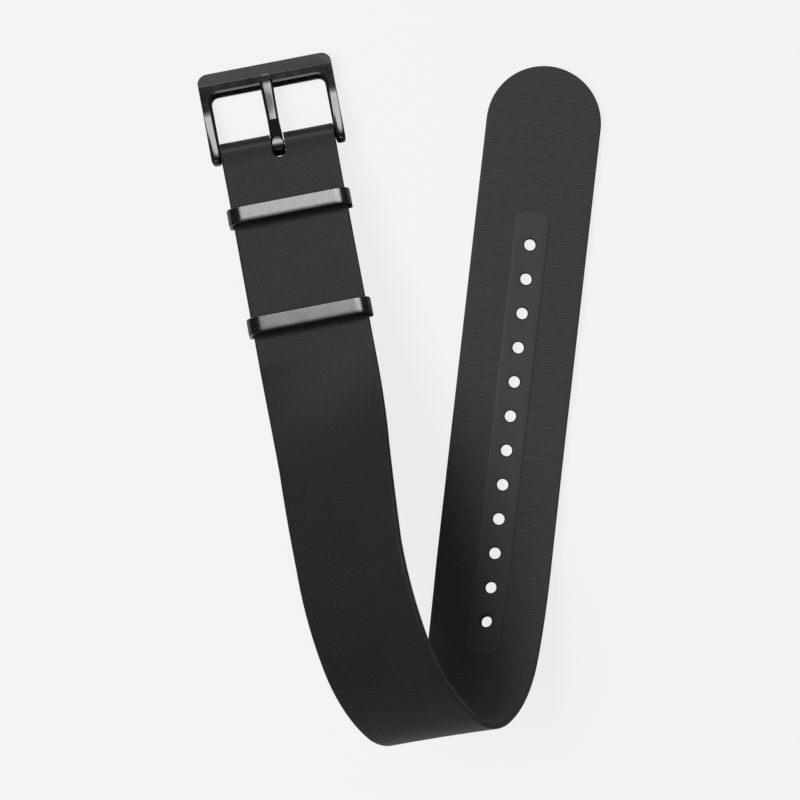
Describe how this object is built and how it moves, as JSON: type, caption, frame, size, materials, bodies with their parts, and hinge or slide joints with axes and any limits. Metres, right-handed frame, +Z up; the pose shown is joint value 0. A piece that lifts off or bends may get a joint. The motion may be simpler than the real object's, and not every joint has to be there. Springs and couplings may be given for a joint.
{
  "type": "watch strap",
  "caption": "Rubber pass-through watch strap lying folded over: ribbed band with adjusting holes, rounded tail, tang buckle on a spring bar and loose metal keepers.",
  "frame": {"origin": "on the table under the centre of the tail tip's arc, on the back face of the tail", "axes": "+Y along the flat tail towards its tip, +X across the tail away from the buckle end, +Z up out of the table"},
  "size_m": [0.0778, 0.1312, 0.036],
  "materials": {
    "rubber": "matt, fine cross ribs",
    "dark_coating": "smooth dark coating on steel",
    "bar_steel": "plain turned steel"
  },
  "bodies": {
    "strap": {"strap": "rubber"},
    "buckle": {"buckle_frame": "dark_coating", "bar_tube": "bar_steel", "bar_spring": "bar_steel"},
    "tongue": {"buckle_tongue": "dark_coating"},
    "keeper_near": {"keeper_near_buckle": "dark_coating"},
    "keeper_far": {"keeper_far_from_buckle": "dark_coating"},
    "tip_left": {"bar_tip_left": "bar_steel"},
    "tip_right": {"bar_tip_right": "bar_steel"}
  },
  "joints": [
    {"name": "buckle_turn", "type": "hinge", "parent": "strap", "child": "buckle", "pos_m": [-0.05006, -0.01022, 0.00249], "axis": [0.9544, 0.2985, 0.0006], "range_deg": [-75, 15]},
    {"name": "tongue_turn", "type": "hinge", "parent": "buckle", "child": "tongue", "pos_m": [-0.05006, -0.01022, 0.00249], "axis": [0.9544, 0.2985, 0.0006], "range_deg": [0, 75]},
    {"name": "keeper_near_tilt", "type": "hinge", "parent": "strap", "child": "keeper_near", "pos_m": [-0.04621, -0.02254, 0.00525], "axis": [0.9544, 0.2985, 0.0006], "range_deg": [-12, 12]},
    {"name": "keeper_far_tilt", "type": "hinge", "parent": "strap", "child": "keeper_far", "pos_m": [-0.03989, -0.04277, 0.00945], "axis": [0.9544, 0.2985, 0.0006], "range_deg": [-12, 12]},
    {"name": "tip_left_press", "type": "slide", "parent": "buckle", "child": "tip_left", "axis": [-0.9544, -0.2985, -0.0006], "range_m": [-0.00115, 0], "stiffness_N_per_m": 300, "springref_m": 0.001, "deforming": ["bar_spring"]},
    {"name": "tip_right_press", "type": "slide", "parent": "buckle", "child": "tip_right", "axis": [0.9544, 0.2985, 0.0006], "range_m": [-0.00115, 0], "stiffness_N_per_m": 300, "springref_m": 0.001, "deforming": ["bar_spring"]}
  ]
}
